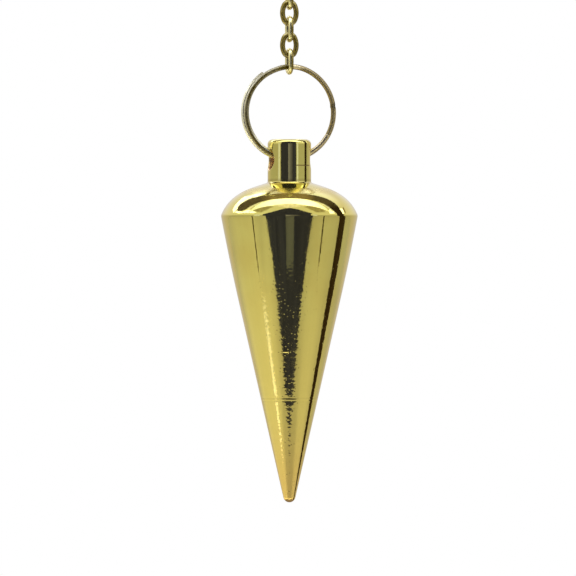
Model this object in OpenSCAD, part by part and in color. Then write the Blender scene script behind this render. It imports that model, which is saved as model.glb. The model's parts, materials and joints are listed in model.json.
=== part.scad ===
// Pendulum pendant: a turned drop that hangs from a split ring on a short stretch of chain.
// Millimetres, +Z up. The origin is the seat inside the top link, where the pendant is held.
// The split ring lies in the XZ plane and the drop's cross bore runs along X.

/* [Drop] */
// Largest diameter of the drop, at the edge between dome and cone
body_d = 16; // [12:0.5:24]
// Height of the cone, from that edge to the tip
cone_h = 33.5; // [24:0.5:50]
// How far the cone's straight side would overshoot the edge if it didn't bow in
cone_bow = 0.2; // [0:0.05:0.6]
// Height of the bowed stretch below the edge
bow_h = 10; // [4:0.5:16]
// Radius of the rounded tip
tip_r = 0.72; // [0.4:0.02:1.4]
// Height of the domed shoulder, from the edge to the neck
dome_h = 3.85; // [2.5:0.05:6]
// How far the middle of the dome's curve stands out from the straight line between its ends
dome_bulge = 0.84; // [0.4:0.02:1.3]
// How much fuller the dome's curve is towards the edge than towards the neck
dome_skew = 0.34; // [0:0.02:0.6]
// Diameter of the neck
neck_d = 5.08; // [4.4:0.02:7]
// Length of the neck above the dome
neck_h = 5.05; // [4.2:0.05:8]
// Radius of the rounded edge on the neck's top
neck_edge_r = 0.55; // [0.1:0.05:0.7]
// Length of the hollow bend at the neck's foot, along the neck and along the dome
neck_foot = 0.2; // [0.1:0.05:0.5]
// Height above the tip of the fine line turned round the cone
line_z = 12.2; // [6:0.2:20]
// Depth of that turned line
line_depth = 0.06; // [0.03:0.01:0.15]
// Width of that turned line
line_w = 0.24; // [0.12:0.02:0.5]

/* [Cross bore] */
// Diameter of the bore through the neck
bore_d = 2.28; // [2:0.02:3]
// Depth of the bore's centre below the top of the neck
bore_depth = 2.4; // [1.9:0.05:3.5]
// How far each mouth of the bore widens, out from the bore's wall
mouth_flare = 0.3; // [0.2:0.02:0.4]
// How deep into the neck that widening begins
mouth_depth = 0.48; // [0.3:0.02:0.6]

/* [Split ring] */
// Outside diameter of the split ring, over its back coil
ring_d = 11.44; // [9:0.02:18]
// Diameter of the ring's wire
ring_wire = 0.61; // [0.4:0.01:0.65]
// How much smaller the front coil's radius is than the back coil's
coil_step = 0.15; // [0:0.01:0.25]
// Gap between the two coils where they lie side by side
coil_gap = 0.03; // [0.02:0.01:0.25]
// Where the back coil ends, in degrees clockwise from the top as seen from the front
back_end = 326; // [300:1:335]
// Where the front coil ends, in degrees clockwise from the top as seen from the front
front_end = 120; // [60:1:150]
// Half the angle over which the wire crosses from one coil to the other
cross_half = 15; // [10:1:20]

/* [Chain] */
// Outside length of a link
link_length = 3.14; // [2.6:0.02:4]
// Outside width of a link
link_width = 2.26; // [2:0.02:2.8]
// Diameter of a link's wire
link_wire = 0.61; // [0.45:0.01:0.65]
// Radius of a link's end bends, as a share of half the width of its middle line
link_end_share = 0.84; // [0.75:0.01:0.98]
// Gap left between a link or the bore and what hangs in it
hang_gap = 0.03; // [0.02:0.01:0.06]

/* [Hidden] */
$fn = 64;
LINKS = 5;
BRASS = [0.78, 0.68, 0.36];
RING_BRASS = [0.60, 0.50, 0.30];
CHAIN_BRASS = [0.85, 0.74, 0.38];
DOME_STEPS = 18;
BOW_STEPS = 6;
EDGE_STEPS = 6;
TIP_STEPS = 10;
// How much wider than the wire the places where two of its bends meet are
JOINT_SHARE = 1.02;
// Length of such a place on a link, as a share of the wire
COLLAR_SHARE = 0.2;
// How many degrees a link's bends stop short of the middle of the collar that joins them
SHORT = 0.4;

// A link's middle line is an oval of four arcs: two end bends and two longer sides
end_top = (link_length - link_wire) / 2;
side_x = (link_width - link_wire) / 2;
end_r = side_x * link_end_share;
end_z = end_top - end_r;
side_r = (end_z * end_z + side_x * side_x - end_r * end_r) / (2 * (side_x - end_r));
side_half = atan2(end_z, side_r - side_x);

// Heights, from the origin in the top link down to the ring
link_pitch = 2 * end_top - link_wire - hang_gap;
top_link_z = link_wire / 2 - end_top;
bottom_wire_z = top_link_z - (LINKS - 1) * link_pitch - end_top;
back_r = (ring_d - ring_wire) / 2;
front_r = back_r - coil_step;
top_r = (front_r + back_r) / 2;
ring_z = bottom_wire_z + (link_wire + ring_wire) / 2 + hang_gap - top_r;
coil_y = sqrt(pow(ring_wire + coil_gap, 2) - coil_step * coil_step) / 2;

// The bore rests on the front coil's wire where its mouths begin to widen
neck_r = neck_d / 2;
bore_r = bore_d / 2;
flare_x = neck_r - mouth_depth;
seat_slope = asin(flare_x / front_r);
seat_wire_z = ring_z - front_r * cos(seat_slope);
wire_reach = bore_r - hang_gap - ring_wire / 2 / cos(seat_slope);
bore_z = seat_wire_z - sqrt(wire_reach * wire_reach - coil_y * coil_y);

// The bore's cutter runs out past the neck's sides
bore_end = neck_r + mouth_flare;
bore_end_r = bore_r + mouth_flare * (bore_end - flare_x) / mouth_depth;

// Heights along the drop
body_r = body_d / 2;
neck_top_z = bore_z + bore_depth;
dome_top_z = neck_top_z - neck_h;
edge_z = dome_top_z - dome_h;
tip_z = edge_z - cone_h;
tip_centre = [0, tip_z + tip_r];

// The straight line between the dome's ends, from the neck out to the edge
dome_start = [neck_r, dome_top_z];
chord = [body_r - neck_r, -dome_h];
chord_l = norm(chord);
foot_share = neck_foot / chord_l;

// The straight side of the cone touches the rounded tip
side_top = [body_r + cone_bow, edge_z] - tip_centre;
cone_half = atan2(side_top[0], side_top[1]) - asin(tip_r / norm(side_top));

function on_circle(centre, r, angle) = centre + r * [cos(angle), sin(angle)];

function arc(centre, r, from, to, steps) =
    [for (i = [0:steps]) on_circle(centre, r, from + (to - from) * i / steps)];

// A parabola in place of the corner between two lines
function bend(start, corner, end, steps) = [
    for (i = [0:steps])
        let (t = i / steps)
        start * pow(1 - t, 2) + corner * 2 * t * (1 - t) + end * t * t
];

// A point of the dome's curve, at a share of the way from the neck to the edge
function dome_point(share) =
    let (from_middle = 2 * share - 1)
    let (stand_out = dome_bulge * (1 - pow(from_middle, 2)) * (1 + dome_skew * from_middle))
    dome_start + chord * share + stand_out * [-chord[1], chord[0]] / chord_l;

// Radius of the cone at a depth below the edge
function cone_radius(depth) =
    body_r + cone_bow - depth * tan(cone_half)
    - cone_bow * pow(max(0, 1 - depth / bow_h), 2);

function cone_point(depth) = [cone_radius(depth), edge_z - depth];

function turned_line(depth) = [
    cone_point(depth - line_w / 2),
    cone_point(depth) - [line_depth, 0],
    cone_point(depth + line_w / 2)
];

// The drop's outline from the top of the neck to the tip, with the radius first
drop_outline = concat(
    [[0, neck_top_z]],
    arc([neck_r - neck_edge_r, neck_top_z - neck_edge_r], neck_edge_r, 90, 0, EDGE_STEPS),
    bend(dome_start + [0, neck_foot], dome_start, dome_point(foot_share), EDGE_STEPS),
    [for (i = [1:DOME_STEPS]) dome_point(foot_share + (1 - foot_share) * i / DOME_STEPS)],
    [for (i = [1:BOW_STEPS]) cone_point(bow_h * i / BOW_STEPS)],
    turned_line(cone_h - line_z),
    arc(tip_centre, tip_r, -cone_half, -90, TIP_STEPS)
);

// Half of the cross bore's outline along its axis, with the radius first
bore_outline = [
    [0, -bore_end],
    [bore_end_r, -bore_end],
    [bore_r, -flare_x],
    [bore_r, flare_x],
    [bore_end_r, bore_end],
    [0, bore_end]
];

module drop() {
    color(BRASS)
    difference() {
        rotate_extrude()
        polygon(drop_outline);

        translate([0, 0, bore_z])
        rotate([0, 90, 0])
        rotate_extrude()
        polygon(bore_outline);
    }
}

// A bent stretch of wire in the XY plane, about the origin
module wire_arc(wire, r, from, sweep) {
    rotate([0, 0, from])
    rotate_extrude(angle = sweep)
    translate([r, 0])
    circle(d = wire);
}

// One coil of the split ring, its ends given clockwise from the top
module coil(r, from, to) {
    wire_arc(ring_wire, r, 90 - to, to - from);
}

// The wire's slanting stretch over the top, from the front coil to the back coil
module crossing() {
    start = concat(on_circle([0, 0], front_r, 90 + cross_half), coil_y);
    end = concat(on_circle([0, 0], back_r, 90 - cross_half), -coil_y);
    span = end - start;
    half_l = norm(span) / 2;
    rise = top_r * (1 - cos(cross_half));
    bend_r = (half_l * half_l + rise * rise) / (2 * rise);
    bend_half = asin(half_l / bend_r);

    translate((start + end) / 2)
    rotate([0, -asin(span[2] / norm(span)), atan2(span[1], span[0])])
    translate([0, rise - bend_r, 0])
    wire_arc(ring_wire, bend_r, 90 - bend_half, 2 * bend_half);

    for (point = [start, end])
        translate(point)
        sphere(d = ring_wire * JOINT_SHARE);
}

module split_ring() {
    color(RING_BRASS)
    translate([0, 0, ring_z])
    rotate([90, 0, 0]) {
        translate([0, 0, coil_y])
        coil(front_r, front_end, 360 - cross_half);

        translate([0, 0, -coil_y])
        coil(back_r, cross_half, back_end);

        crossing();
    }
}

// The short collar along Z in which two bends of a link meet
module collar(wire) {
    cylinder(d = wire * JOINT_SHARE, h = wire * COLLAR_SHARE, center = true);
}

// Link number n counts up from the split ring, and every second link is turned a quarter turn
module link(n) {
    color(CHAIN_BRASS)
    translate([0, 0, top_link_z - (LINKS - n) * link_pitch])
    rotate([90, 0, n % 2 == 1 ? 90 : 0])
    for (end = [0, 1])
        rotate([0, 0, 180 * end]) {
            translate([0, end_z, 0])
            wire_arc(link_wire, end_r, side_half + SHORT, 180 - 2 * (side_half + SHORT));

            translate([side_x - side_r, 0, 0])
            wire_arc(link_wire, side_r, SHORT - side_half, 2 * (side_half - SHORT));

            for (turn = [side_half, 180 - side_half])
                translate(concat(on_circle([0, end_z], end_r, turn), 0))
                rotate([90, 0, turn])
                collar(link_wire);
        }
}

drop();
split_ring();
link(1);  // link_1
link(2);  // link_2
link(3);  // link_3
link(4);  // link_4
link(5);  // link_5
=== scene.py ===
# Looks of a pendulum pendant: a turned brass drop on a split ring and a short stretch of chain.
# Metres, +Z up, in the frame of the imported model, whose origin is the seat in the top link.
import json
import math

import bmesh
import bpy
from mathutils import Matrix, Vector


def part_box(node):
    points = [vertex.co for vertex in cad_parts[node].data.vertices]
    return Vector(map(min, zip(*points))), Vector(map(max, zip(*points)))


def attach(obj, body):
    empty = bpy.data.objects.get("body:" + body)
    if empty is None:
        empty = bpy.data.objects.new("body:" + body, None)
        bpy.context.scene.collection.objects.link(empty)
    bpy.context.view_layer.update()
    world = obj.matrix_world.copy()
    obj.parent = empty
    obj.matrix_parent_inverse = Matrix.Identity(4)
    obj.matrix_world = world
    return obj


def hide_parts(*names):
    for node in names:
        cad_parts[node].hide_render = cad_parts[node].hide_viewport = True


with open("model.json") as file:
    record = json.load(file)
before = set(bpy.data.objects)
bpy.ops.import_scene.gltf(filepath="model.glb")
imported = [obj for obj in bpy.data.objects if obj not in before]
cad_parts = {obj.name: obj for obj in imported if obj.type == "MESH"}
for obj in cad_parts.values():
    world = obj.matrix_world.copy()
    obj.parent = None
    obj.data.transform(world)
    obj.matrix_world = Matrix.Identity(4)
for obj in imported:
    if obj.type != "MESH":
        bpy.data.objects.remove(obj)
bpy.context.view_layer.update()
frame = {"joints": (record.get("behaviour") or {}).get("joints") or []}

MM = 0.001

# The camera stands a little above the level of the drop's middle, and to its left
CAMERA_AZIMUTH = -14.5
CAMERA_DISTANCE = 0.8
VIEW_HEIGHT = 67.3 * MM
AIM_Z = -35.0 * MM
AIM_LEFT = 0.16 * MM
SENSOR = 36.0
CLIP_START = 0.01

# The drop's outline
BODY_R = 8 * MM
NECK_R = 2.54 * MM
NECK_H = 5.05 * MM
NECK_EDGE_R = 0.55 * MM
NECK_FOOT = 0.2 * MM
DOME_H = 3.85 * MM
DOME_BULGE = 0.84 * MM
DOME_SKEW = 0.34
RIM_ROUND = 0.16 * MM
CONE_BOW = 0.2 * MM
BOW_H = 10 * MM
TIP_R = 0.72 * MM

# The line turned round the cone is two shallow grooves, side by side and each LINE_W wide
LINE_Z = 12.2 * MM
LINE_DEPTH = 0.006 * MM
LINE_W = 0.32 * MM

# The cross bore, and how far its mouths are rounded: above, below and beside it, and into it
BORE_R = 1.14 * MM
MOUTH_ABOVE = 0.45 * MM
MOUTH_BELOW = 0.2 * MM
MOUTH_BESIDE = 0.25 * MM
MOUTH_DEPTH = 1.0 * MM

# The split ring, with angles in degrees clockwise from its top: its two coils, the crossing
# between them, the wire's slightly thinner ends and a small nick
RING_WIRE = 0.61 * MM
COIL_STEP = 0.15 * MM
BACK_END = 326
FRONT_END = 120
CROSS_HALF = 18
CROSS_SOFT = 0.2
END_TRIM = 0.05 * MM
END_SHARE = 0.84
TRIM_SHARE = 0.95
NICK_CLOCK = 82
NICK_HALF = 1.6
NICK_DEPTH = 0.05 * MM

# The chain
LINKS = 5
LINK_WIRE = 0.61 * MM
LINK_END_SHARE = 0.84

# Fineness of the drop: faces round it, along each stretch of its outline and along the bore
SIDES = 240
EDGE_STEPS = 12
FOOT_STEPS = 10
DOME_STEPS = 44
RIM_STEPS = 6
CONE_STEPS = 56
LINE_STEPS = 24
LOWER_STEPS = 30
TIP_STEPS = 16
BORE_STEPS = 16

# A mouth of the bore lies in a window of 2 * WINDOW_HALF by 2 * WINDOW_HALF faces, twice WINDOW_H
# high. Rings of faces lead in from its border, and are closer together near the mouth.
WINDOW_HALF = 26
WINDOW_H = 1.75 * MM
MARGIN_RINGS = 9
MARGIN_POWER = 1.3
MOUTH_RINGS = 10

# Fineness of the wires
WIRE_SIDES = 24
RING_STEP = 1.5
LINK_SIDE_STEPS = 20
LINK_END_STEPS = 30

JOINTS = {j["name"]: Vector(j["pos_m"]) for j in frame["joints"]}
DROP_LOW, DROP_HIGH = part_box("drop")
RING_LOW, RING_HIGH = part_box("split_ring")

BORE_Z = JOINTS["drop_swing"].z
NECK_TOP = DROP_HIGH.z
DOME_TOP = NECK_TOP - NECK_H
EDGE_Z = DOME_TOP - DOME_H
TIP_Z = DROP_LOW.z


def turn(degrees):
    """Unit vector (cos, sin) at an angle in degrees."""
    a = math.radians(degrees)
    return Vector((math.cos(a), math.sin(a)))


def arc(centre, r, start, end, steps):
    """Points on an arc in the (radius, height) plane."""
    return [centre + r * turn(start + (end - start) * i / steps) for i in range(steps + 1)]


def bend(start, corner, end, steps):
    """Points on a parabola in place of the corner between two lines."""
    shares = [i / steps for i in range(steps + 1)]
    return [start * (1 - t) ** 2 + corner * 2 * t * (1 - t) + end * t * t for t in shares]


def dome_point(share):
    """A point of the dome's curve, at a share of the way from the neck to the edge."""
    chord = Vector((BODY_R - NECK_R, -DOME_H))
    from_middle = 2 * share - 1
    stand_out = DOME_BULGE * (1 - from_middle ** 2) * (1 + DOME_SKEW * from_middle)
    outward = Vector((DOME_H, BODY_R - NECK_R)) / chord.length
    return Vector((NECK_R, DOME_TOP)) + chord * share + stand_out * outward


def cone_half_angle():
    """Half the cone's angle, whose straight side touches the rounded tip."""
    side_top = Vector((BODY_R + CONE_BOW, EDGE_Z - TIP_Z - TIP_R))
    return math.atan2(side_top.x, side_top.y) - math.asin(TIP_R / side_top.length)


def cone_point(depth):
    """A point of the cone's side at a depth below the edge."""
    bow = CONE_BOW * max(0.0, 1 - depth / BOW_H) ** 2
    radius = BODY_R + CONE_BOW - depth * math.tan(cone_half_angle()) - bow
    return Vector((radius, EDGE_Z - depth))


def neck_outline():
    """(radius, height) points from the top of the neck down to the windows for the bore."""
    edge = Vector((NECK_R - NECK_EDGE_R, NECK_TOP - NECK_EDGE_R))
    flat = [Vector((edge.x * i / EDGE_STEPS, NECK_TOP)) for i in range(1, EDGE_STEPS)]
    return flat + arc(edge, NECK_EDGE_R, 90, 0, EDGE_STEPS)


def window_outline():
    """(radius, height) points along the windows for the bore."""
    rows = 2 * WINDOW_HALF
    return [Vector((NECK_R, BORE_Z + WINDOW_H * (1 - 2 * i / rows))) for i in range(rows + 1)]


def body_outline():
    """(radius, height) points from the neck's foot to the tip."""
    corner = Vector((NECK_R, DOME_TOP))
    dome_l = math.hypot(BODY_R - NECK_R, DOME_H)
    foot, rim = NECK_FOOT / dome_l, 1 - RIM_ROUND / dome_l
    outline = bend(corner + Vector((0, NECK_FOOT)), corner, dome_point(foot), FOOT_STEPS)
    outline += [dome_point(foot + (rim - foot) * i / DOME_STEPS) for i in range(1, DOME_STEPS)]
    outline += bend(dome_point(rim), Vector((BODY_R, EDGE_Z)), cone_point(RIM_ROUND), RIM_STEPS)

    line = EDGE_Z - TIP_Z - LINE_Z
    line_start, line_end = line - LINE_W / 2, line + 3 * LINE_W / 2
    straight = line_start - RIM_ROUND
    for i in range(1, CONE_STEPS + 1):
        outline.append(cone_point(RIM_ROUND + straight * i / CONE_STEPS))
    for i in range(1, LINE_STEPS):
        t = i / LINE_STEPS
        dent = LINE_DEPTH * math.sin(2 * math.pi * t) ** 2
        outline.append(cone_point(line_start + (line_end - line_start) * t) - Vector((dent, 0)))

    tip_centre = Vector((0, TIP_Z + TIP_R))
    tip = arc(tip_centre, TIP_R, -math.degrees(cone_half_angle()), -90, TIP_STEPS)
    lower = EDGE_Z - tip[0].y - line_end
    outline += [cone_point(line_end + lower * i / LOWER_STEPS) for i in range(LOWER_STEPS)]
    return outline + tip[:-1]


def at(row, column):
    """Index of a vertex of the turned form, whose first vertex is the middle of its top."""
    return 1 + row * SIDES + column % SIDES


def turned_form(outline, first):
    """A lathe form's vertices and faces, with two windows in the neck from row first down."""
    vertices = [(0, 0, NECK_TOP)]
    for p in outline:
        for j in range(SIDES):
            a = 2 * math.pi * j / SIDES
            vertices.append((p.x * math.cos(a), p.x * math.sin(a), p.y))
    vertices.append((0, 0, TIP_Z))

    span = 2 * WINDOW_HALF
    lowest = len(outline) - 1
    faces = []
    for j in range(SIDES):
        faces.append((0, at(0, j), at(0, j + 1)))
        faces.append((at(lowest, j), len(vertices) - 1, at(lowest, j + 1)))
        in_window = (j + WINDOW_HALF) % (SIDES // 2) < span
        for i in range(lowest):
            if not (in_window and first <= i < first + span):
                faces.append((at(i, j), at(i + 1, j), at(i + 1, j + 1), at(i, j + 1)))
    return vertices, faces


def window_border(first, side):
    """Indices of the vertices round the window on one side of the neck."""
    half, span = WINDOW_HALF, 2 * WINDOW_HALF
    border = [(half, i) for i in range(span)]
    border += [(half - i, span) for i in range(span)]
    border += [(-half, span - i) for i in range(span)]
    border += [(i - half, 0) for i in range(span)]
    if side < 0:
        border = [(SIDES // 2 - column, row) for column, row in border]
    return [at(first + row, column) for column, row in border]


def mouth_profile(alpha):
    """Points (distance from the bore's axis, x) of a rounded mouth at an angle about that axis."""
    lean = math.cos(alpha) ** 2
    upright = MOUTH_ABOVE if alpha > 0 else MOUTH_BELOW
    reach = upright + (MOUTH_BESIDE - upright) * lean
    rho = BORE_R + reach
    start = Vector((rho, math.sqrt(NECK_R ** 2 - rho * rho * lean)))
    slope = -rho * lean / start.y
    corner = Vector((BORE_R, start.y - slope * reach))
    return rho, bend(start, corner, corner - Vector((0, MOUTH_DEPTH)), MOUTH_RINGS)


def mouth_loops(vertices, border, side):
    """Loops from a window's border in to the bore's wall, whose vertices are added to the list."""
    spots = []
    for index in border:
        x, y, z = vertices[index]
        spots.append((math.hypot(y, z - BORE_Z), math.atan2(z - BORE_Z, y)))
    profiles = [mouth_profile(alpha) for _, alpha in spots]
    loops = [border]

    def add_loop(points):
        start = len(vertices)
        for (rho, x), (_, alpha) in zip(points, spots):
            vertices.append((side * x, rho * math.cos(alpha), BORE_Z + rho * math.sin(alpha)))
        loops.append(list(range(start, len(vertices))))

    for k in range(1, MARGIN_RINGS):
        points = []
        for (far, alpha), (near, _) in zip(spots, profiles):
            rho = near + (far - near) * (1 - k / MARGIN_RINGS) ** MARGIN_POWER
            points.append((rho, math.sqrt(NECK_R ** 2 - (rho * math.cos(alpha)) ** 2)))
        add_loop(points)
    for k in range(MOUTH_RINGS + 1):
        add_loop([curve[k] for _, curve in profiles])
    return loops


def join_loops(loops):
    """Faces between neighbouring loops of vertices."""
    faces = []
    for a, b in zip(loops, loops[1:]):
        for i in range(len(a)):
            n = (i + 1) % len(a)
            faces.append((a[i], a[n], b[n], b[i]))
    return faces


def drop_mesh():
    """A turned form with a bore through its neck, whose two mouths are rounded."""
    above = neck_outline()
    vertices, faces = turned_form(above + window_outline() + body_outline(), len(above))
    inner_loops = []
    for side in (1, -1):
        loops = mouth_loops(vertices, window_border(len(above), side), side)
        faces += join_loops(loops)
        inner_loops.append(loops[-1])

    right, left = inner_loops
    wall = [right]
    for k in range(1, BORE_STEPS):
        start = len(vertices)
        for r, l in zip(right, left):
            vertices.append(Vector(vertices[r]).lerp(Vector(vertices[l]), k / BORE_STEPS))
        wall.append(list(range(start, len(vertices))))
    wall.append(left)
    return vertices, faces + join_loops(wall)


def swept_wire(path, normal_of, radii, closed):
    """A round wire's vertices and faces along a path. normal_of(i) is across it at point i."""
    count, sides = len(path), WIRE_SIDES
    vertices = []
    for i, p in enumerate(path):
        before = path[i - 1] if closed or i else path[i]
        after = path[(i + 1) % count] if closed or i < count - 1 else path[i]
        along = (after - before).normalized()
        side = normal_of(i)
        side = (side - along * side.dot(along)).normalized()
        other = along.cross(side)
        for k in range(sides):
            a = 2 * math.pi * k / sides
            vertices.append(p + radii[i] * (side * math.cos(a) + other * math.sin(a)))
    faces = []
    for i in range(count if closed else count - 1):
        n = (i + 1) % count
        for k in range(sides):
            m = (k + 1) % sides
            faces.append((i * sides + k, i * sides + m, n * sides + m, n * sides + k))
    if not closed:
        faces.append(tuple(range(sides)))
        faces.append(tuple((count - 1) * sides + k for k in range(sides)))
    return vertices, faces


def eased(t):
    """From 0 to 1 as t goes from -1 to 1: straight, apart from its soft ends."""
    size = min(abs(t), 1 + CROSS_SOFT)
    if size > 1 - CROSS_SOFT:
        size = 1 - (1 + CROSS_SOFT - size) ** 2 / (4 * CROSS_SOFT)
    return 0.5 + math.copysign(size, t) / 2


def ring_mesh():
    """The split ring's wire, from its front end round to its back end."""
    back_r = (RING_HIGH.x - RING_LOW.x - RING_WIRE) / 2
    ring_z = RING_LOW.z + back_r + RING_WIRE / 2
    coil_y = (RING_HIGH.y - RING_LOW.y - RING_WIRE) / 2
    start, end = FRONT_END, 360 + BACK_END
    count = round((end - start) / RING_STEP)
    trim = math.degrees(END_TRIM / back_r)
    clocks = [start, start + trim / 2, start + 2 * trim]
    clocks += [start + (end - start) * i / count for i in range(2, count - 1)]
    clocks += [end - 2 * trim, end - trim / 2, end]

    radii = [RING_WIRE / 2] * len(clocks)
    for spot, share in ((0, END_SHARE), (1, TRIM_SHARE), (-1, END_SHARE), (-2, TRIM_SHARE)):
        radii[spot] *= share

    path = []
    for clock in clocks:
        from_top = clock - 360
        across = eased(from_top / CROSS_HALF)
        nick = math.exp(-((from_top - NICK_CLOCK) / NICK_HALF) ** 2)
        r = back_r - COIL_STEP * (1 - across) - NICK_DEPTH * nick
        a = math.radians(clock)
        path.append(Vector((r * math.sin(a), coil_y * (2 * across - 1), ring_z + r * math.cos(a))))

    def outward(i):
        a = math.radians(clocks[i])
        return Vector((math.sin(a), 0, math.cos(a)))

    return swept_wire(path, outward, radii, closed=False)


def link_mesh(node, turned):
    """One oval link: two tight end bends and two long shallow sides."""
    low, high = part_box(node)
    middle = (low + high) / 2
    end_top = (high.z - low.z - LINK_WIRE) / 2
    width = (high.y - low.y) if turned else (high.x - low.x)
    side_x = (width - LINK_WIRE) / 2
    end_r = side_x * LINK_END_SHARE
    end_z = end_top - end_r
    side_r = (end_z ** 2 + side_x ** 2 - end_r ** 2) / (2 * (side_x - end_r))
    side_half = math.degrees(math.atan2(end_z, side_r - side_x))

    side_centre = Vector((side_x - side_r, 0))
    half = arc(side_centre, side_r, -side_half, side_half, LINK_SIDE_STEPS)[:-1]
    half += arc(Vector((0, end_z)), end_r, side_half, 180 - side_half, LINK_END_STEPS)[:-1]
    outline = half + [-p for p in half]

    across = Vector((0, 1, 0)) if turned else Vector((1, 0, 0))
    facing = Vector((1, 0, 0)) if turned else Vector((0, 1, 0))
    path = [middle + across * p.x + Vector((0, 0, p.y)) for p in outline]
    return swept_wire(path, lambda i: facing, [LINK_WIRE / 2] * len(path), closed=True)


def add_piece(name, vertices, faces, material, body, *nodes):
    """A smooth mesh that rides on a body and stands for the nodes."""
    mesh = bpy.data.meshes.new(name)
    mesh.from_pydata([tuple(v) for v in vertices], [], faces)
    bm = bmesh.new()
    bm.from_mesh(mesh)
    bmesh.ops.recalc_face_normals(bm, faces=bm.faces)
    bm.to_mesh(mesh)
    bm.free()
    mesh.shade_smooth()
    mesh.materials.append(material)
    piece = bpy.data.objects.new(name, mesh)
    bpy.context.scene.collection.objects.link(piece)
    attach(piece, body)
    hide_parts(*nodes)
    return piece


def mixed(tree, factor, a, b):
    """A mix of two colours, each given as a socket or as red, green and blue."""
    node = tree.nodes.new("ShaderNodeMix")
    node.data_type = "RGBA"
    tree.links.new(factor, node.inputs["Factor"])
    for value, socket in ((a, node.inputs[6]), (b, node.inputs[7])):
        if isinstance(value, bpy.types.NodeSocket):
            tree.links.new(value, socket)
        else:
            socket.default_value = (*value, 1)
    return node.outputs[2]


class Nodes:
    """Short calls for building a material's node tree."""

    def __init__(self, name):
        self.material = bpy.data.materials.new(name)
        self.material.use_nodes = True
        self.tree = self.material.node_tree
        self.tree.nodes.clear()
        self.output = self.tree.nodes.new("ShaderNodeOutputMaterial")
        self.shader = self.tree.nodes.new("ShaderNodeBsdfPrincipled")
        self.tree.links.new(self.shader.outputs[0], self.output.inputs["Surface"])
        self.coords = self.tree.nodes.new("ShaderNodeTexCoord").outputs
        self.place = self.coords["Object"]

    def link(self, value, socket):
        if isinstance(value, bpy.types.NodeSocket):
            self.tree.links.new(value, socket)
        else:
            socket.default_value = value

    def math(self, operation, a, b=0.0, clamp=False):
        node = self.tree.nodes.new("ShaderNodeMath")
        node.operation = operation
        node.use_clamp = clamp
        for value, socket in zip((a, b), node.inputs):
            self.link(value, socket)
        return node.outputs[0]

    def plus(self, a, b):
        return self.math("ADD", a, b)

    def minus(self, a, b):
        return self.math("SUBTRACT", a, b)

    def times(self, a, b):
        return self.math("MULTIPLY", a, b)

    def most(self, a, b):
        return self.math("MAXIMUM", a, b)

    def rest(self, share):
        """What a share leaves of 1."""
        return self.math("SUBTRACT", 1.0, share)

    def length(self, a, b):
        return self.math("SQRT", self.plus(self.times(a, a), self.times(b, b)))

    def ramp(self, value, low, high, out_low=0.0, out_high=1.0):
        """Smooth step of a value from one range to another."""
        node = self.tree.nodes.new("ShaderNodeMapRange")
        node.interpolation_type = "SMOOTHSTEP"
        settings = {"Value": value, "From Min": low, "From Max": high,
                    "To Min": out_low, "To Max": out_high}
        for name, setting in settings.items():
            self.link(setting, node.inputs[name])
        return node.outputs[0]

    def band(self, value, centre, half_width, soft):
        """1 within half_width of the centre, falling to 0 over the soft distance."""
        away = self.math("ABSOLUTE", self.minus(value, centre))
        return self.ramp(away, half_width, half_width + soft, 1.0, 0.0)

    def noise(self, scale, detail=2.0, roughness=0.5, stretch=None):
        """Noise in the range 0 to 1, with features of about the given size in metres."""
        node = self.tree.nodes.new("ShaderNodeTexNoise")
        place = self.place
        if stretch:
            scaled = self.tree.nodes.new("ShaderNodeVectorMath")
            scaled.operation = "MULTIPLY"
            self.link(place, scaled.inputs[0])
            scaled.inputs[1].default_value = stretch
            place = scaled.outputs[0]
        self.link(place, node.inputs["Vector"])
        node.inputs["Scale"].default_value = 1 / scale
        node.inputs["Detail"].default_value = detail
        node.inputs["Roughness"].default_value = roughness
        return node.outputs[0]

    def pits(self, spacing, size, share):
        """1 on the surface and 0 in the bottoms of round pits, which a share of the cells have."""
        node = self.tree.nodes.new("ShaderNodeTexVoronoi")
        self.link(self.place, node.inputs["Vector"])
        node.inputs["Scale"].default_value = 1 / spacing
        pick = self.tree.nodes.new("ShaderNodeSeparateColor")
        self.tree.links.new(node.outputs["Color"], pick.inputs[0])
        bare = self.math("GREATER_THAN", pick.outputs[0], share)
        return self.most(self.ramp(node.outputs["Distance"], 0.0, size), bare)

    def mix(self, factor, a, b):
        return mixed(self.tree, factor, a, b)

    def parts(self, vector):
        """The x, y and z of a vector."""
        node = self.tree.nodes.new("ShaderNodeSeparateXYZ")
        self.link(vector, node.inputs[0])
        return node.outputs

    def bump(self, height, distance, normal=None):
        node = self.tree.nodes.new("ShaderNodeBump")
        node.inputs["Strength"].default_value = 1.0
        node.inputs["Distance"].default_value = distance
        self.link(height, node.inputs["Height"])
        if normal:
            self.link(normal, node.inputs["Normal"])
        return node.outputs[0]


# Colours of the drop
BRASS = (0.79, 0.69, 0.175)
BRASS_DEEP = (0.74, 0.61, 0.145)
BRASS_LOW = (0.83, 0.675, 0.165)
BRASS_TIP = (0.83, 0.57, 0.145)
TARNISH = (0.20, 0.10, 0.035)
DRILLED = (0.80, 0.50, 0.23)
# Orange of a band of polish residue on the dome, which also paints the neck's warm reflection there
RESIDUE_AND_REFLECTION = (0.66, 0.42, 0.10)

# Colours of the ring: its painted shade, brown on the right, darker near the top and darkest at
# the nick, and dark on the left, and its lit colours, rosy on the right and a pale painted
# highlight on the left
RING_BROWN = (0.36, 0.27, 0.09)
RING_BROWN_TOP = (0.30, 0.225, 0.075)
RING_SHADE_DARK = (0.14, 0.10, 0.010)
RING_NICK = (0.06, 0.045, 0.008)
RING_ROSY = (0.70, 0.57, 0.27)
RING_BRIGHT = (0.97, 0.90, 0.54)

# Colours of the chain: the lit brass and its dark painted shade
LINK_BRIGHT = (0.88, 0.77, 0.31)
LINK_SHADE = (0.26, 0.19, 0.032)

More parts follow.
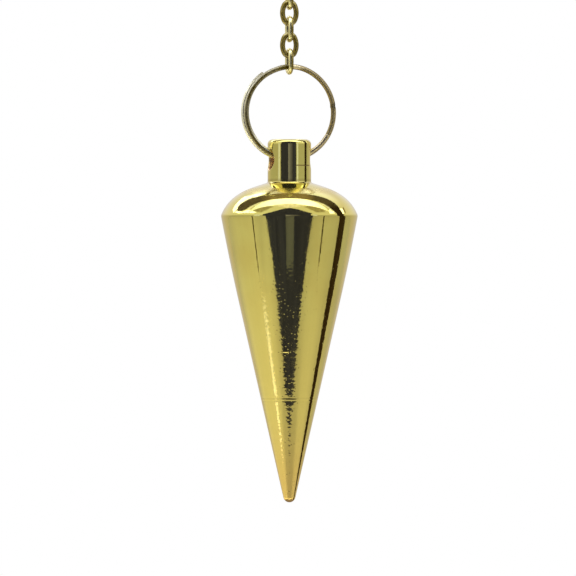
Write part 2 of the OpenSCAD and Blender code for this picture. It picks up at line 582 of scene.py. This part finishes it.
# Places on the drop: a fine line below the neck's top, a small nick in the cone, a band on the
# dome out from the neck of polish residue and a painted warm reflection of the neck, and
# ripples above the tip
NECK_LINE_DOWN = 3.05 * MM
NECK_LINE_AZIMUTH = 28
NICK_Z = -42.6 * MM
NICK_AZIMUTH = CAMERA_AZIMUTH - 5
RESIDUE_AND_REFLECTION_OUT = 2.65 * MM
RIPPLES_UP = 10.5 * MM

# How much of the tarnish lies in the seam under the neck, in the turned line and in the fine line
SEAM_DIRT = 0.3
LINE_DIRT = 0.08
NECK_LINE_DIRT = 0.85

# Relief of the drop's polish: slow waves, fine ripples low on the cone, grain, pits and the nick
WAVE_DEPTH = 0.007 * MM
RIPPLE_DEPTH = 0.006 * MM
GRAIN_DEPTH = 0.006 * MM
PIT_DEPTH = 0.007 * MM
CONE_NICK_DEPTH = 0.03 * MM


def drop_brass():
    """Polished brass with fine pits, redder to the tip and in the bore, and dark in its lines."""
    n = Nodes("drop_brass")
    x, y, z = n.parts(n.place)
    across = n.length(x, y)
    from_bore = n.length(y, n.minus(z, BORE_Z))

    def facing(azimuth, half_angle, soft):
        """1 on the drop's side at an azimuth about Z, which is counted from -Y towards +X."""
        a = math.radians(azimuth)
        along = n.plus(n.times(x, math.sin(a)), n.times(y, -math.cos(a)))
        low, high = (math.cos(math.radians(v)) for v in (half_angle + soft, half_angle))
        return n.ramp(n.math("DIVIDE", along, across), low, high)

    seam = n.band(z, DOME_TOP + 0.15 * MM, 0.1 * MM, 0.3 * MM)
    line = n.band(z, TIP_Z + LINE_Z, 0.04 * MM, 0.1 * MM)
    neck_line = n.band(z, NECK_TOP - NECK_LINE_DOWN, 0.03 * MM, 0.06 * MM)
    neck_line = n.times(neck_line, facing(NECK_LINE_AZIMUTH, 22, 4))
    dirt = n.most(n.times(seam, SEAM_DIRT), n.times(line, LINE_DIRT))
    dirt = n.most(dirt, n.times(neck_line, NECK_LINE_DIRT))
    # A band of polish residue on the dome round the neck, whose orange tint is also a painted
    # reflection of the neck
    residue_and_reflection = n.times(n.ramp(z, EDGE_Z, EDGE_Z + 1 * MM),
                      n.band(across, NECK_R + RESIDUE_AND_REFLECTION_OUT, 0.4 * MM, 0.5 * MM))
    inside = n.ramp(from_bore, BORE_R + 0.22 * MM, BORE_R + 0.03 * MM)

    colour = n.mix(n.ramp(n.noise(6 * MM, 3.0), 0.35, 0.75), BRASS, BRASS_DEEP)
    colour = n.mix(n.ramp(z, EDGE_Z - 4 * MM, EDGE_Z - 22 * MM), colour, BRASS_LOW)
    colour = n.mix(n.ramp(z, TIP_Z + 12 * MM, TIP_Z, 0.0, 0.9), colour, BRASS_TIP)
    colour = n.mix(dirt, colour, TARNISH)
    colour = n.mix(n.times(residue_and_reflection, 0.25), colour, RESIDUE_AND_REFLECTION)
    colour = n.mix(n.times(inside, 0.95), colour, DRILLED)
    n.link(colour, n.shader.inputs["Base Color"])
    n.shader.inputs["Metallic"].default_value = 1.0

    rough = n.ramp(n.noise(0.8 * MM, 4.0, 0.6), 0.3, 0.8, 0.035, 0.09)
    rough = n.plus(rough, n.times(dirt, 0.3))
    rough = n.plus(rough, n.times(residue_and_reflection, 0.2))
    rough = n.plus(rough, n.times(inside, 0.45))
    n.link(rough, n.shader.inputs["Roughness"])

    # The grain and the pits are strongest low on the cone, weak on the dome and half on the neck
    grown = n.ramp(z, EDGE_Z - 2 * MM, EDGE_Z - 12 * MM, 0.25, 1.0)
    grown = n.most(grown, n.ramp(z, DOME_TOP, DOME_TOP + 0.5 * MM, 0.0, 0.5))
    grain = n.times(n.noise(0.4 * MM, 1.0, 0.4), grown)
    pits = n.times(n.pits(0.34 * MM, 0.3, 0.4), grown)
    ripple = n.times(n.noise(0.5 * MM, 1.0, 0.5, (0.12, 0.12, 1.0)),
                     n.band(z, TIP_Z + RIPPLES_UP, 3 * MM, 4 * MM))
    nick = n.times(n.band(z, NICK_Z, 0.05 * MM, 0.12 * MM), facing(NICK_AZIMUTH, 2.5, 2))
    normal = n.bump(n.noise(2.5 * MM, 1.0), WAVE_DEPTH)
    normal = n.bump(ripple, RIPPLE_DEPTH, normal)
    normal = n.bump(grain, GRAIN_DEPTH, normal)
    normal = n.bump(pits, PIT_DEPTH, normal)
    normal = n.bump(nick, -CONE_NICK_DEPTH, normal)
    n.link(normal, n.shader.inputs["Normal"])
    return n.material


def wire_brass(n, shade_and_wear, bright, shaded, smoothest, roughest):
    """The wires' look: a lit colour, mixed by a share towards a painted shade colour, and roughened
    by the same share.
    """
    blotch = n.ramp(n.noise(1.1 * MM, 3.0), 0.35, 0.75, 0.88, 1.12)
    shade_and_wear = n.math("MULTIPLY", shade_and_wear, blotch, clamp=True)
    n.link(n.mix(shade_and_wear, bright, shaded), n.shader.inputs["Base Color"])
    n.shader.inputs["Metallic"].default_value = 1.0
    rough = n.ramp(n.noise(0.5 * MM, 3.0), 0.3, 0.8, 0.0, 0.08)
    shade_lift_and_roughness = n.ramp(shade_and_wear, 0.0, 1.0, smoothest, roughest)
    n.link(n.plus(rough, shade_lift_and_roughness), n.shader.inputs["Roughness"])
    n.link(n.bump(n.noise(0.3 * MM, 2.0, 0.5), 0.0015 * MM), n.shader.inputs["Normal"])
    return n.material


def ring_brass():
    """Painted shade on the left's front coil and the right's back coil, and lit colours on the
    other two, with a pale painted highlight on the left.
    """
    n = Nodes("ring_brass")
    x, y, z = n.parts(n.place)
    top = RING_HIGH.z
    middle_x = (RING_LOW.x + RING_HIGH.x) / 2
    outside_r = (RING_HIGH.x - RING_LOW.x) / 2
    clock = math.radians(NICK_CLOCK)
    nick_x = middle_x + outside_r * math.sin(clock)
    nick_z = top - outside_r * (1 - math.cos(clock))
    from_middle = n.length(n.minus(x, middle_x), n.minus(z, top - outside_r))
    from_nick = n.length(n.minus(x, nick_x), n.minus(z, nick_z))
    left = n.ramp(x, 0.4 * MM, -0.4 * MM)
    front = n.ramp(y, 0.08 * MM, -0.08 * MM)

    # On the left the front coil has painted shade, less so at its outside and, lower down, at its
    # inside, and near the top both coils have it
    inner = n.ramp(from_middle, outside_r - 0.16 * MM, outside_r - 0.28 * MM, 0.45, 1.0)
    shade_lift_and_roughness = n.ramp(z, top - 6.5 * MM, top - 9.5 * MM, 0.3, 0.9)
    shade_lift_and_roughness = n.times(shade_lift_and_roughness, n.ramp(from_middle, outside_r - 0.42 * MM, outside_r - 0.62 * MM))
    inner = n.times(inner, n.rest(shade_lift_and_roughness))
    upper = n.ramp(z, top - 3.0 * MM, top - 1.2 * MM, 0.0, 0.75)
    shade_left = n.times(left, n.most(n.times(front, inner), upper))

    # On the right the back coil has painted shade, apart from its rim below the nick
    rim = n.ramp(from_middle, outside_r - 0.20 * MM, outside_r - 0.12 * MM)
    rim = n.times(rim, n.ramp(z, nick_z, nick_z - 0.5 * MM))
    shade_right = n.times(n.rest(left), n.times(n.rest(front), n.rest(rim)))

    # Colours of the painted shade, and the lit colours with the pale painted highlight on the left
    brown = n.mix(n.ramp(z, top - 3 * MM, top - 0.5 * MM), RING_BROWN, RING_BROWN_TOP)
    shaded = n.mix(left, brown, RING_SHADE_DARK)
    shaded = n.mix(n.ramp(from_nick, 0.7 * MM, 0.3 * MM), shaded, RING_NICK)
    bright = n.mix(left, RING_ROSY, RING_BRIGHT)
    return wire_brass(n, n.plus(shade_left, shade_right), bright, shaded, 0.30, 0.50)


def chain_brass(turned):
    """Painted shade on the turned links' flanks and all over the flat links, less where the links
    rub on each other, which is both wear and painted highlights.
    """
    n = Nodes("chain_brass_turned" if turned else "chain_brass_flat")
    height = n.parts(n.coords["Generated"])[2]
    # Worn bright where the links rub on each other, which also paints the highlights where they
    # meet
    rubbed_and_lit = n.ramp(n.math("ABSOLUTE", n.minus(height, 0.5)), 0.30, 0.46)
    # Turned links get painted shade on the flanks facing either way along a fixed slanting
    # direction, flat links all over
    if turned:
        nx, ny, _ = n.parts(n.coords["Normal"])
        flank = n.plus(n.times(nx, 0.42), n.times(ny, -0.91))
        shade_and_wear = n.ramp(n.math("ABSOLUTE", flank), 0.72, 0.92)
        shade_and_wear = n.times(shade_and_wear, n.rest(rubbed_and_lit))
    else:
        shade_and_wear = n.rest(n.times(rubbed_and_lit, 0.35))
    return wire_brass(n, shade_and_wear, LINK_BRIGHT, LINK_SHADE, 0.24, 0.44)


def build_pieces():
    drop = add_piece("turned_drop", *drop_mesh(), drop_brass(), "drop", "drop")
    ring = add_piece("ring_wire", *ring_mesh(), ring_brass(), "ring", "split_ring")
    finishes = [chain_brass(False), chain_brass(True)]
    for number in range(1, LINKS + 1):
        node = f"link_{number}"
        turned = number % 2 == 1
        mesh = link_mesh(node, turned)
        link = add_piece(f"oval_{node}", *mesh, finishes[turned], "chain", node)


# Directions as the camera sees them: to its right, and from the object towards it
AZIMUTH = math.radians(CAMERA_AZIMUTH)
RIGHT = Vector((math.cos(AZIMUTH), math.sin(AZIMUTH), 0))
TOWARDS = Vector((math.sin(AZIMUTH), -math.cos(AZIMUTH), 0))
UP = Vector((0, 0, 1))

# The cards in the sky, each a step nearer than the one before it, and the hoop, nearer than all
SKY_DISTANCE = 0.5
SKY_STEP = 0.002
HOOP_DISTANCE = 0.35

# Light of the cards
PANEL = (0.036, 0.039, 0.100)
SLIT_LOW = (0.11, 0.12, 0.20)
SLIT_HIGH = (0.24, 0.25, 0.50)
SLIT_FADED = (0.05, 0.05, 0.10)
THIN = (0.08, 0.07, 0.05)
EDGE_BAR = (0.78, 0.86, 1.35)
DARK = (0.034, 0.022, 0.016)
ARC = (0.12, 0.10, 0.10)
BROWN = (0.30, 0.235, 0.18)
OLIVE = (0.44, 0.41, 0.34)
GOLD = (0.86, 0.88, 0.95)
BRIGHT = (1.12, 1.12, 1.5)
BELOW_FRONT = (0.42, 0.38, 0.50)
BELOW_BACK = (0.13, 0.09, 0.09)
STREAK_HIGH = (0.95, 0.98, 1.25)
STREAK_LOW = (1.7, 1.65, 2.2)
PALE = (1.15, 1.2, 1.8)
WHITE = (2.7, 2.9, 4.2)

# Light of the world: at the horizon in front and behind, and above it behind, low and high
LEVEL_FRONT = (0.46, 0.47, 0.49)
LEVEL_BACK = (0.63, 0.58, 0.56)
BACK_LOW = (0.88, 0.86, 1.0)
BACK_HIGH = (1.28, 1.36, 2.1)


def place(right, towards, up):
    """A point given in millimetres to the camera's right, towards it and up."""
    return (RIGHT * right + TOWARDS * towards + UP * up) * MM


def sky(azimuth, elevation, distance=SKY_DISTANCE):
    """A point seen from the drop's edge. The azimuth is 0 at the camera and grows to its right."""
    a, e = math.radians(azimuth), math.radians(elevation)
    level = RIGHT * math.sin(a) + TOWARDS * math.cos(a)
    return UP * EDGE_Z + (level * math.cos(e) + UP * math.sin(e)) * distance


def glow_material():
    """An emitting surface whose light is the mesh's own, slightly mottled."""
    material = bpy.data.materials.new("glow")
    material.use_nodes = True
    tree = material.node_tree
    tree.nodes.clear()
    light = tree.nodes.new("ShaderNodeAttribute")
    light.attribute_name = "light"
    coords = tree.nodes.new("ShaderNodeTexCoord")
    noise = tree.nodes.new("ShaderNodeTexNoise")
    tree.links.new(coords.outputs["Object"], noise.inputs["Vector"])
    noise.inputs["Scale"].default_value = 1 / (25 * MM)
    level = tree.nodes.new("ShaderNodeMapRange")
    tree.links.new(noise.outputs[0], level.inputs["Value"])
    settings = {"From Min": 0.3, "From Max": 0.7, "To Min": 0.75, "To Max": 1.25}
    for name, value in settings.items():
        level.inputs[name].default_value = value
    shader = tree.nodes.new("ShaderNodeEmission")
    tree.links.new(light.outputs["Color"], shader.inputs["Color"])
    tree.links.new(level.outputs[0], shader.inputs["Strength"])
    output = tree.nodes.new("ShaderNodeOutputMaterial")
    tree.links.new(shader.outputs[0], output.inputs["Surface"])
    return material


GLOW = glow_material()


def add_stage(name, points, faces, material, seen=False):
    """A mesh of the studio round the pendant. Only the metal reflects it, unless it is seen."""
    mesh = bpy.data.meshes.new(name)
    mesh.from_pydata(points, [], faces)
    mesh.materials.append(material)
    card = bpy.data.objects.new(name, mesh)
    card.visible_camera = seen
    card.visible_diffuse = seen
    bpy.context.scene.collection.objects.link(card)
    return card


def add_card(name, points, lights, faces=None):
    """A card that only the metal reflects, with a light for each of its points."""
    card = add_stage(name, points, faces or [tuple(range(len(points)))], GLOW)
    colours = card.data.color_attributes.new("light", "FLOAT_COLOR", "POINT")
    for spot, light in zip(colours.data, lights):
        spot.color = (*light, 1)
    return card


def add_even_card(name, points, light):
    """A card with the same light all over."""
    return add_card(name, points, [light] * len(points))


def add_patch(name, corners, inner_light, rim_light):
    """A card between directions, which passes from the light inside it to the one at its rim."""
    inner_share = 0.72
    points = [sky(*c) for c in corners]
    count = len(corners)
    middle = sum(points, Vector()) / count
    points += [middle.lerp(p, inner_share) for p in points]
    faces = [(i, (i + 1) % count, count + (i + 1) % count, count + i) for i in range(count)]
    faces.append(tuple(range(count, 2 * count)))
    return add_card(name, points, [rim_light] * count + [inner_light] * count, faces)


def add_ribbon(name, rows, distance):
    """A bent card through pairs of directions, one on each long edge, and a light for each pair."""
    points, lights = [], []
    for back, front, light in rows:
        points += [sky(*back, distance), sky(*front, distance)]
        lights += [light, light]
    faces = [(2 * i, 2 * i + 1, 2 * i + 3, 2 * i + 2) for i in range(len(rows) - 1)]
    return add_card(name, points, lights, faces)


def panel_card(depth):
    """The dark panel before the drop, which narrows to a point low down and high up."""
    half = [(30, -149.5), (60, -147.5), (85, -143), (109, -139)]
    half += [(130, -127), (150, -122), (173, -117), (173, -60)]
    right = half + [(145, -14), (160, 120), (209, 215), (100, 266)]
    left = half + [(206, -13), (215, 120), (209, 215), (100, 266)]
    outline = [(0, -151.5)] + right + [(0, 342)] + [(-x, z) for x, z in reversed(left)]
    add_even_card("panel", [place(x, depth, z) for x, z in outline], PANEL)


def front_cards():
    """The panel with its slit, a thin dark line on each side of it, and the bright edge bars."""
    depth = 200
    panel_card(depth)

    slit_left, slit_bottom, slit_middle, slit_top = -21, -116, -60, 30
    slits = (("slit_low", slit_bottom, slit_middle, 28, SLIT_LOW, SLIT_LOW),
             ("slit_high", slit_middle, slit_top, 66, SLIT_HIGH, SLIT_FADED))
    for name, low, high, slit_right, left_light, right_light in slits:
        corners = [(slit_left, low), (slit_right, low), (slit_right, high), (slit_left, high)]
        lights = [left_light, right_light, right_light, left_light]
        add_card(name, [place(x, depth - 5, z) for x, z in corners], lights)

    line_half, line_bottom, line_top = 20, -170, -90
    for name, x, towards in (("left_line", -353, 152), ("right_line", 338, 182)):
        left, right = x - line_half, x + line_half
        corners = [(left, line_bottom), (right, line_bottom), (right, line_top), (left, line_top)]
        add_even_card(name, [place(x, towards, z) for x, z in corners], THIN)

    bar_low, bar_high = -9, 22
    for name, start, end in (("left_bar", -62, -51), ("right_bar", 40, 48)):
        corners = [(start, bar_low), (end, bar_low), (end, bar_high), (start, bar_high)]
        add_even_card(name, [sky(*c) for c in corners], EDGE_BAR)


def small_cards():
    """A narrow light low on the left, one above the neck, and a card under the tip."""
    corners = [(-262, 108, -147), (-244, 144, -151), (-209, 178, -177), (-242, 137, -172)]
    lights = [STREAK_HIGH, STREAK_HIGH, STREAK_LOW, STREAK_LOW]
    add_card("streak", [place(*c) for c in corners], lights)

    near_up = 12
    corners = [(-55, 10), (-14, 2.5), (14, 2.5), (55, 10), (18, 17), (-18, 17)]
    points = [place(right, towards, near_up) for right, towards in corners]
    lights = [GOLD, WHITE, WHITE, GOLD, WHITE, WHITE]
    near = add_card("near", points, lights, [(0, 1, 5), (1, 2, 4, 5), (2, 3, 4)])
    near.visible_shadow = False

    below_up = -200
    corners = [(-120, 80), (120, 80), (260, -300), (-260, -300)]
    points = [place(right, towards, below_up) for right, towards in corners]
    lights = [BELOW_FRONT, BELOW_FRONT, BELOW_BACK, BELOW_BACK]
    below = add_card("below", points, lights)
    below.visible_shadow = False


def hoop_card():
    """The dark hoop over and behind the drop, brown at its middle, that comes down on the right."""
    rows = [((-113, 30), (-105, 33), ARC),
            ((-125, 33), (-99, 39), ARC),
            ((-135, 44), (-99, 51), ARC),
            ((-144, 54), (-104, 63), ARC),
            ((-156, 60), (-112, 73), BROWN),
            ((180, 61), (180, 86.5), BROWN),
            ((159, 61), (113, 73), BROWN),
            ((147, 56), (106, 64), ARC),
            ((133, 47), (100, 52), ARC),
            ((118, 35), (96, 41), DARK),
            ((110, 25), (96, 30), DARK),
            ((109, 15), (89, 15), DARK),
            ((103, 1), (88, 1), DARK),
            ((111, -11), (95.6, -13.4), DARK),
            ((113.5, -13.8), (96.2, -17), DARK),
            ((113, -21), (95, -23.5), DARK),
            ((122, -27), (90, -30), DARK),
            ((130, -45), (80, -48), DARK)]
    add_ribbon("hoop", rows, HOOP_DISTANCE)


def sky_cards():
    """The lights and duller patches above, in azimuth and elevation."""
    add_patch("patch_left", [(-82, 37), (-91, 44), (-92, 53), (-79, 61),
                             (-57, 64), (-40, 61), (-50, 49), (-58, 41)], OLIVE, GOLD)
    add_patch("patch_right", [(37, 62), (64, 65), (83, 58), (87, 48),
                              (76, 38), (56, 41), (47, 51)], OLIVE, GOLD)
    patches = {
        "before": (BRIGHT, [(-52, 66), (-30, 64), (0, 60), (30, 64),
                            (52, 66), (60, 74), (0, 82), (-60, 74)]),
        "overhead": (PALE, [(-97, 40), (-101, 64), (180, 84), (101, 64), (97, 33),
                            (91, 31), (93, 47), (95, 60), (77, 69), (59, 71),
                            (0, 79), (-59, 71), (-80, 66), (-95, 56), (-91, 42)]),
        "overhead_white": (WHITE, [(-98, 67), (180, 85), (98, 67), (68, 73), (0, 79), (-68, 73)]),
        "left_white": (WHITE, [(-118, 27), (-114, 32), (-101, 33), (-96, 39), (-87, 42),
                               (-68, 41), (-73, 37), (-92, 33), (-105, 28)]),
        "upper_left": (WHITE, [(-120, 25), (-130, 26), (-154, 35), (-152, 42),
                               (-143, 47), (-130, 37), (-121, 32)]),
        "right_white": (WHITE, [(97, 43), (92, 31), (81, 33), (85, 40)]),
        "right_upper": (WHITE, [(123, 31), (116, 24.5), (110, 24), (110, 29), (118, 34)]),
        "right_edge": (BROWN, [(131, 30), (121, 24), (117, 24), (125, 31)]),
        "neck_right": (WHITE, [(171, 42), (167, 40), (158, 53), (164, 56)]),
        "neck_left": (WHITE, [(-151, 41), (-165, 46), (-163, 54), (-140, 51)]),
    }
    for number, (name, (light, corners)) in enumerate(patches.items(), start=1):
        distance = SKY_DISTANCE - SKY_STEP * number
        add_even_card(name, [sky(*c, distance) for c in corners], light)


def world_light():
    """Grey at the horizon and below, brighter above and behind. The camera sees it as white."""
    world = bpy.data.worlds.new("studio")
    bpy.context.scene.world = world
    world.use_nodes = True
    tree = world.node_tree
    tree.nodes.clear()
    direction = tree.nodes.new("ShaderNodeTexCoord").outputs["Generated"]

    def step(along, start, end):
        """Smooth step from 0 to 1 of the direction's part along a vector."""
        part = tree.nodes.new("ShaderNodeVectorMath")
        part.operation = "DOT_PRODUCT"
        tree.links.new(direction, part.inputs[0])
        part.inputs[1].default_value = along
        level = tree.nodes.new("ShaderNodeMapRange")
        level.interpolation_type = "SMOOTHSTEP"
        tree.links.new(part.outputs["Value"], level.inputs["Value"])
        level.inputs["From Min"].default_value = start
        level.inputs["From Max"].default_value = end
        return level.outputs[0]

    behind = mixed(tree, step(UP, 0.5, 0.75), BACK_LOW, BACK_HIGH)
    above = mixed(tree, step(-TOWARDS, 0.2, 0.7), GOLD, behind)
    level = mixed(tree, step(-TOWARDS, 0.3, 0.8), LEVEL_FRONT, LEVEL_BACK)
    light = mixed(tree, step(UP, -0.05, 0.3), level, above)
    soft = tree.nodes.new("ShaderNodeBackground")
    tree.links.new(light, soft.inputs["Color"])
    white = tree.nodes.new("ShaderNodeBackground")
    white.inputs["Color"].default_value = (1, 1, 1, 1)
    seen = tree.nodes.new("ShaderNodeLightPath").outputs["Is Camera Ray"]
    both = tree.nodes.new("ShaderNodeMixShader")
    tree.links.new(seen, both.inputs[0])
    tree.links.new(soft.outputs[0], both.inputs[1])
    tree.links.new(white.outputs[0], both.inputs[2])
    output = tree.nodes.new("ShaderNodeOutputWorld")
    tree.links.new(both.outputs[0], output.inputs["Surface"])


FLOOR_Z = -0.32
FLOOR_R = 2.0
FLOOR_SIDES = 96
FLOOR_PALER = (0.555, 0.54, 0.484)
FLOOR_PALE = (0.535, 0.52, 0.466)
LAMP_SIZE = 0.3


def floor():
    """A plain pale floor, well below the hanging drop."""
    n = Nodes("floor_pale")
    colour = n.mix(n.ramp(n.noise(120 * MM), 0.35, 0.65), FLOOR_PALER, FLOOR_PALE)
    n.link(colour, n.shader.inputs["Base Color"])
    n.shader.inputs["Roughness"].default_value = 0.9
    points = []
    for i in range(FLOOR_SIDES):
        a = 2 * math.pi * i / FLOOR_SIDES
        points.append((FLOOR_R * math.cos(a), FLOOR_R * math.sin(a), FLOOR_Z))
    add_stage("floor", points, [tuple(range(FLOOR_SIDES))], n.material, seen=True)


def lamp(name, watts, spot):
    """A soft round lamp that shines straight down and doesn't show in the metal."""
    data = bpy.data.lights.new(name, "AREA")
    data.shape = "DISK"
    data.size = LAMP_SIZE
    data.energy = watts
    light = bpy.data.objects.new(name, data)
    light.location = spot
    light.visible_glossy = False
    light.visible_camera = False
    bpy.context.scene.collection.objects.link(light)


def camera():
    data = bpy.data.cameras.new("camera")
    data.sensor_width = SENSOR
    data.lens = SENSOR * CAMERA_DISTANCE / VIEW_HEIGHT
    data.clip_start = CLIP_START
    cam = bpy.data.objects.new("camera", data)
    aim = UP * AIM_Z - RIGHT * AIM_LEFT
    cam.location = aim + TOWARDS * CAMERA_DISTANCE
    cam.rotation_mode = "QUATERNION"
    cam.rotation_quaternion = (-TOWARDS).to_track_quat("-Z", "Y")
    bpy.context.scene.collection.objects.link(cam)
    bpy.context.scene.camera = cam


build_pieces()
front_cards()
small_cards()
hoop_card()
sky_cards()
world_light()
floor()
lamp("floor_light", 7.4, place(-60, 0, 250))
lamp("side_light", 4.6, place(-560, -640, 420))
camera()
bpy.context.scene.view_settings.view_transform = "Standard"
